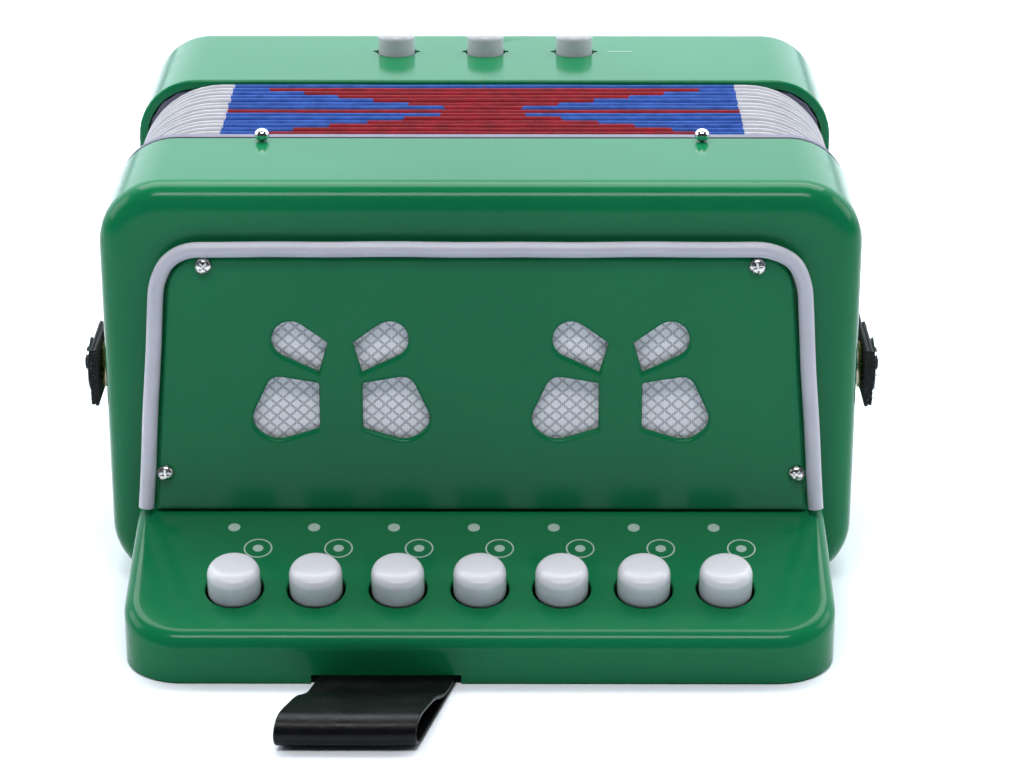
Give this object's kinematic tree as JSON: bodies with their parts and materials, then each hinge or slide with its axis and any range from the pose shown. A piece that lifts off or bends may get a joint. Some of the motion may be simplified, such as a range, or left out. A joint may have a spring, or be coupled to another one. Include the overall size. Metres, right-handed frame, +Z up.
{
  "type": "toy button accordion",
  "caption": "Small toy button accordion lying with its buttons up: two glossy plastic casings joined by folded bellows, a sloping fingerboard, sprung buttons and side snap straps",
  "frame": {"origin": "centre of the bounding box in X and Y, on the surface that the object lies on", "axes": "X along the row of buttons, +Y from the treble end to the bass end along the bellows' travel, +Z up out of the side that carries the bass buttons"},
  "size_m": [0.1888, 0.2276, 0.1062],
  "materials": {
    "green_shell": "glossy injection-moulded plastic",
    "white_button": "glossy",
    "piping": "soft vinyl, satin",
    "grille_cloth": "woven, silvery",
    "strap_leather": "smooth black, soft sheen",
    "elastic_webbing": "ribbed black webbing",
    "chrome_hardware": "polished",
    "reed_brass": "brushed",
    "bellows_card": "folded card with glossy printed cloth",
    "bellows_frame": "satin",
    "gasket_foam": "matt foam",
    "soundboard_fibre": "fibre board",
    "lever_plastic": "moulded"
  },
  "bodies": {
    "treble": {"treble_casing": "green_shell", "panel_screw_upper_left": "chrome_hardware", "panel_screw_upper_right": "chrome_hardware", "panel_screw_lower_left": "chrome_hardware", "panel_screw_lower_right": "chrome_hardware", "grille_panel": "green_shell", "grille_cloth": "grille_cloth", "panel_piping": "piping", "fingerboard_cover": "green_shell", "fingerboard_base": "green_shell", "key_axle": "chrome_hardware", "treble_soundboard": "soundboard_fibre", "treble_reed_plate": "reed_brass", "bellows_gasket": "gasket_foam", "treble_bellows_frame": "bellows_frame", "bellows_pin_left": "chrome_hardware", "bellows_pin_right": "chrome_hardware", "thumb_strap": "strap_leather", "snap_stud_left": "chrome_hardware", "snap_stud_right": "chrome_hardware"},
    "bass": {"bass_casing": "green_shell", "bass_bellows_frame": "bellows_frame", "bass_soundboard": "soundboard_fibre", "bass_reed_plate": "reed_brass", "rocker_axle": "chrome_hardware", "bass_hand_strap": "strap_leather", "hand_strap_plate_left": "chrome_hardware", "hand_strap_plate_right": "chrome_hardware", "strap_keeper_left": "chrome_hardware", "strap_keeper_right": "chrome_hardware"},
    "bellows_section_1": {"bellows_section_1": "bellows_card"},
    "bellows_section_2": {"bellows_section_2": "bellows_card"},
    "bellows_section_3": {"bellows_section_3": "bellows_card"},
    "bellows_section_4": {"bellows_section_4": "bellows_card"},
    "bellows_section_5": {"bellows_section_5": "bellows_card"},
    "treble_button_1": {"treble_button_1": "white_button"},
    "key_lever_1": {"key_lever_1": "lever_plastic"},
    "treble_button_2": {"treble_button_2": "white_button"},
    "key_lever_2": {"key_lever_2": "lever_plastic"},
    "treble_button_3": {"treble_button_3": "white_button"},
    "key_lever_3": {"key_lever_3": "lever_plastic"},
    "treble_button_4": {"treble_button_4": "white_button"},
    "key_lever_4": {"key_lever_4": "lever_plastic"},
    "treble_button_5": {"treble_button_5": "white_button"},
    "key_lever_5": {"key_lever_5": "lever_plastic"},
    "treble_button_6": {"treble_button_6": "white_button"},
    "key_lever_6": {"key_lever_6": "lever_plastic"},
    "treble_button_7": {"treble_button_7": "white_button"},
    "key_lever_7": {"key_lever_7": "lever_plastic"},
    "bass_button_1": {"bass_button_1": "white_button"},
    "bass_rocker_1": {"bass_rocker_1": "lever_plastic"},
    "bass_button_2": {"bass_button_2": "white_button"},
    "bass_rocker_2": {"bass_rocker_2": "lever_plastic"},
    "air_button": {"air_button": "white_button"},
    "air_valve_rocker": {"air_valve_rocker": "lever_plastic"},
    "strap_left": {"side_strap_left": "elastic_webbing", "snap_cap_left": "chrome_hardware"},
    "strap_right": {"side_strap_right": "elastic_webbing", "snap_cap_right": "chrome_hardware"}
  },
  "joints": [
    {"name": "bellows_open", "type": "slide", "parent": "treble", "child": "bass", "axis": [0, 1, 0], "range_m": [0, 0.13]},
    {"name": "bellows_stretch_1", "type": "slide", "parent": "treble", "child": "bellows_section_1", "axis": [0, 1, 0], "range_m": [0, 0.00365]},
    {"name": "bellows_stretch_2", "type": "slide", "parent": "treble", "child": "bellows_section_2", "axis": [0, 1, 0], "range_m": [0, 0.02809]},
    {"name": "bellows_stretch_3", "type": "slide", "parent": "treble", "child": "bellows_section_3", "axis": [0, 1, 0], "range_m": [0, 0.06501]},
    {"name": "bellows_stretch_4", "type": "slide", "parent": "treble", "child": "bellows_section_4", "axis": [0, 1, 0], "range_m": [0, 0.10193]},
    {"name": "bellows_stretch_5", "type": "slide", "parent": "treble", "child": "bellows_section_5", "axis": [0, 1, 0], "range_m": [0, 0.12637]},
    {"name": "treble_button_1_press", "type": "slide", "parent": "treble", "child": "treble_button_1", "axis": [0, 0.2672, -0.9636], "range_m": [0, 0.003], "stiffness_N_per_m": 150, "springref_m": -0.003},
    {"name": "key_lever_1_swing", "type": "hinge", "parent": "treble", "child": "key_lever_1", "pos_m": [-0.0555, -0.02635, 0.02204], "axis": [1, 0, 0], "range_deg": [0, 4.3]},
    {"name": "treble_button_2_press", "type": "slide", "parent": "treble", "child": "treble_button_2", "axis": [0, 0.2672, -0.9636], "range_m": [0, 0.003], "stiffness_N_per_m": 150, "springref_m": -0.003},
    {"name": "key_lever_2_swing", "type": "hinge", "parent": "treble", "child": "key_lever_2", "pos_m": [-0.037, -0.02635, 0.02204], "axis": [1, 0, 0], "range_deg": [0, 4.3]},
    {"name": "treble_button_3_press", "type": "slide", "parent": "treble", "child": "treble_button_3", "axis": [0, 0.2672, -0.9636], "range_m": [0, 0.003], "stiffness_N_per_m": 150, "springref_m": -0.003},
    {"name": "key_lever_3_swing", "type": "hinge", "parent": "treble", "child": "key_lever_3", "pos_m": [-0.0185, -0.02635, 0.02204], "axis": [1, 0, 0], "range_deg": [0, 4.3]},
    {"name": "treble_button_4_press", "type": "slide", "parent": "treble", "child": "treble_button_4", "axis": [0, 0.2672, -0.9636], "range_m": [0, 0.003], "stiffness_N_per_m": 150, "springref_m": -0.003},
    {"name": "key_lever_4_swing", "type": "hinge", "parent": "treble", "child": "key_lever_4", "pos_m": [0, -0.02635, 0.02204], "axis": [1, 0, 0], "range_deg": [0, 4.3]},
    {"name": "treble_button_5_press", "type": "slide", "parent": "treble", "child": "treble_button_5", "axis": [0, 0.2672, -0.9636], "range_m": [0, 0.003], "stiffness_N_per_m": 150, "springref_m": -0.003},
    {"name": "key_lever_5_swing", "type": "hinge", "parent": "treble", "child": "key_lever_5", "pos_m": [0.0185, -0.02635, 0.02204], "axis": [1, 0, 0], "range_deg": [0, 4.3]},
    {"name": "treble_button_6_press", "type": "slide", "parent": "treble", "child": "treble_button_6", "axis": [0, 0.2672, -0.9636], "range_m": [0, 0.003], "stiffness_N_per_m": 150, "springref_m": -0.003},
    {"name": "key_lever_6_swing", "type": "hinge", "parent": "treble", "child": "key_lever_6", "pos_m": [0.037, -0.02635, 0.02204], "axis": [1, 0, 0], "range_deg": [0, 4.3]},
    {"name": "treble_button_7_press", "type": "slide", "parent": "treble", "child": "treble_button_7", "axis": [0, 0.2672, -0.9636], "range_m": [0, 0.003], "stiffness_N_per_m": 150, "springref_m": -0.003},
    {"name": "key_lever_7_swing", "type": "hinge", "parent": "treble", "child": "key_lever_7", "pos_m": [0.0555, -0.02635, 0.02204], "axis": [1, 0, 0], "range_deg": [0, 4.3]},
    {"name": "bass_button_1_press", "type": "slide", "parent": "bass", "child": "bass_button_1", "axis": [0, 0, -1], "range_m": [0, 0.0025], "stiffness_N_per_m": 150, "springref_m": -0.003},
    {"name": "bass_rocker_1_swing", "type": "hinge", "parent": "bass", "child": "bass_rocker_1", "pos_m": [-0.023, 0.09015, 0.086], "axis": [1, 0, 0], "range_deg": [0, 14.2]},
    {"name": "bass_button_2_press", "type": "slide", "parent": "bass", "child": "bass_button_2", "axis": [0, 0, -1], "range_m": [0, 0.0025], "stiffness_N_per_m": 150, "springref_m": -0.003},
    {"name": "bass_rocker_2_swing", "type": "hinge", "parent": "bass", "child": "bass_rocker_2", "pos_m": [0, 0.09015, 0.086], "axis": [1, 0, 0], "range_deg": [0, 14.2]},
    {"name": "air_button_press", "type": "slide", "parent": "bass", "child": "air_button", "axis": [0, 0, -1], "range_m": [0, 0.0025], "stiffness_N_per_m": 150, "springref_m": -0.003},
    {"name": "air_valve_rocker_swing", "type": "hinge", "parent": "bass", "child": "air_valve_rocker", "pos_m": [0.023, 0.09015, 0.086], "axis": [1, 0, 0], "range_deg": [0, 14.2]},
    {"name": "side_strap_left_swing", "type": "hinge", "parent": "bass", "child": "strap_left", "pos_m": [-0.0891, 0.08515, 0.05], "axis": [0, 0, -1], "range_deg": [0, 90]},
    {"name": "side_strap_right_swing", "type": "hinge", "parent": "bass", "child": "strap_right", "pos_m": [0.0891, 0.08515, 0.05], "axis": [0, 0, 1], "range_deg": [0, 90]}
  ],
  "couplings": [
    {"joint": "bellows_stretch_1", "follows": "bellows_open", "ratio": 0.028},
    {"joint": "bellows_stretch_2", "follows": "bellows_open", "ratio": 0.216},
    {"joint": "bellows_stretch_3", "follows": "bellows_open", "ratio": 0.5},
    {"joint": "bellows_stretch_4", "follows": "bellows_open", "ratio": 0.784},
    {"joint": "bellows_stretch_5", "follows": "bellows_open", "ratio": 0.972},
    {"joint": "key_lever_1_swing", "follows": "treble_button_1_press", "rad_per_m": 24.708},
    {"joint": "key_lever_2_swing", "follows": "treble_button_2_press", "rad_per_m": 24.708},
    {"joint": "key_lever_3_swing", "follows": "treble_button_3_press", "rad_per_m": 24.708},
    {"joint": "key_lever_4_swing", "follows": "treble_button_4_press", "rad_per_m": 24.708},
    {"joint": "key_lever_5_swing", "follows": "treble_button_5_press", "rad_per_m": 24.708},
    {"joint": "key_lever_6_swing", "follows": "treble_button_6_press", "rad_per_m": 24.708},
    {"joint": "key_lever_7_swing", "follows": "treble_button_7_press", "rad_per_m": 24.708},
    {"joint": "bass_rocker_1_swing", "follows": "bass_button_1_press", "rad_per_m": 97.087},
    {"joint": "bass_rocker_2_swing", "follows": "bass_button_2_press", "rad_per_m": 97.087},
    {"joint": "air_valve_rocker_swing", "follows": "air_button_press", "rad_per_m": 97.087}
  ]
}
